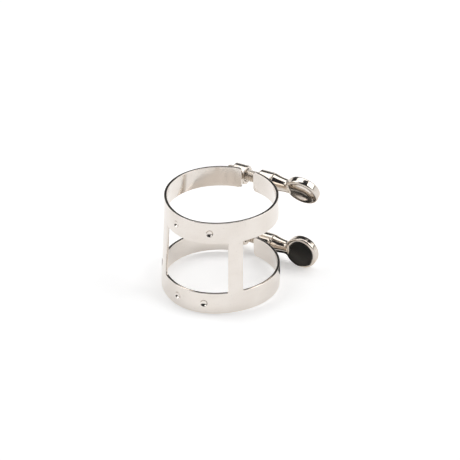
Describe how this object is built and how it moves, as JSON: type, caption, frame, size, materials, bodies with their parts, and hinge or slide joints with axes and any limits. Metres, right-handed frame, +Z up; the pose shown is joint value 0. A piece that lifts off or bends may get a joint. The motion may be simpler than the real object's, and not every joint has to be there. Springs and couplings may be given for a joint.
{
  "type": "saxophone ligature",
  "caption": "Metal clamp band that holds a reed on a saxophone mouthpiece: open H-shaped front, rear posts, and side thumb screws that draw its rings tight.",
  "frame": {"origin": "bottom centre of the box round the whole object; the ring axis is vertical at x -1.465 mm, y -1.848 mm, and the band's lower edge is at z 1.293 mm, because the lower thumb screw's head reaches that far below it", "axes": "+Z up the ring axis towards the mouthpiece's tip, where the rings are narrower; -Y the reed side; +X the side of the thumb screws' heads"},
  "size_m": [0.03, 0.0328, 0.0244],
  "materials": {
    "band_sheet": "polished",
    "post_metal": "polished",
    "screw_metal": "polished"
  },
  "bodies": {
    "front": {"front_frame": "band_sheet"},
    "upper_right_end": {"upper_band_right": "band_sheet", "upper_post_right": "post_metal"},
    "upper_left_end": {"upper_band_left": "band_sheet", "upper_post_left": "post_metal"},
    "lower_right_end": {"lower_band_right": "band_sheet", "lower_post_right": "post_metal"},
    "lower_left_end": {"lower_band_left": "band_sheet", "lower_post_left": "post_metal"},
    "upper_screw": {"upper_thumb_screw": "screw_metal"},
    "lower_screw": {"lower_thumb_screw": "screw_metal"}
  },
  "joints": [
    {"name": "upper_right_spread", "type": "slide", "parent": "front", "child": "upper_right_end", "axis": [1, 0, 0], "range_m": [-0.000187, 0.000687]},
    {"name": "upper_left_spread", "type": "slide", "parent": "front", "child": "upper_left_end", "axis": [-1, 0, 0], "range_m": [-0.00019, 0.00069]},
    {"name": "lower_right_spread", "type": "slide", "parent": "front", "child": "lower_right_end", "axis": [1, 0, 0], "range_m": [-0.000187, 0.000687]},
    {"name": "lower_left_spread", "type": "slide", "parent": "front", "child": "lower_left_end", "axis": [-1, 0, 0], "range_m": [-0.00019, 0.00069]},
    {"name": "upper_screw_turn", "type": "hinge", "parent": "upper_right_end", "child": "upper_screw", "pos_m": [0, 0.01353, 0.02059], "axis": [1, 0, 0], "range_deg": [-270, 990]},
    {"name": "lower_screw_turn", "type": "hinge", "parent": "lower_right_end", "child": "lower_screw", "pos_m": [0, 0.01417, 0.00399], "axis": [1, 0, 0], "range_deg": [-270, 990]}
  ],
  "couplings": [
    {"joint": "upper_left_spread", "follows": "upper_right_spread", "ratio": 1},
    {"joint": "upper_screw_turn", "follows": "upper_right_spread", "rad_per_m": 25133},
    {"joint": "lower_left_spread", "follows": "lower_right_spread", "ratio": 1},
    {"joint": "lower_screw_turn", "follows": "lower_right_spread", "rad_per_m": 25133}
  ]
}
